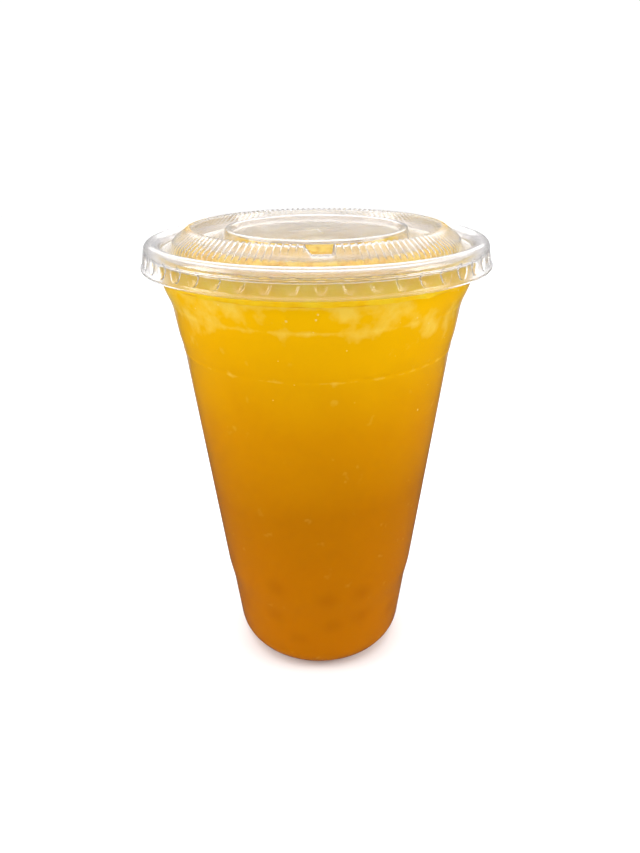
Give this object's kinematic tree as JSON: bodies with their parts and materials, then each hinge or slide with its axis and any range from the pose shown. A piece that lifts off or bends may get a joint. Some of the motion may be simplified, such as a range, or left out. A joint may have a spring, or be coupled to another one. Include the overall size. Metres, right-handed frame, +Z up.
{
  "type": "passion fruit iced tea in a lidded clear cup",
  "caption": "Clear tapered plastic cup of cloudy yellow-orange iced fruit tea, closed with a clear press-fit lid that has a ribbed crest and a crossed straw slit.",
  "frame": {"origin": "middle of the foot that the cup stands on", "axes": "+Z up along the cup's axis, -Y towards the notch in the lid's crest"},
  "size_m": [0.1024, 0.1024, 0.1465],
  "materials": {
    "clear_cup": "clear, glossy thermoformed PET",
    "fruit_tea": "cloudy liquid, yellow at the top and orange towards the foot",
    "clear_lid": "clear, glossy thermoformed PET"
  },
  "bodies": {
    "root": {"cup": "clear_cup", "drink": "fruit_tea", "lid": "clear_lid"}
  },
  "joints": []
}
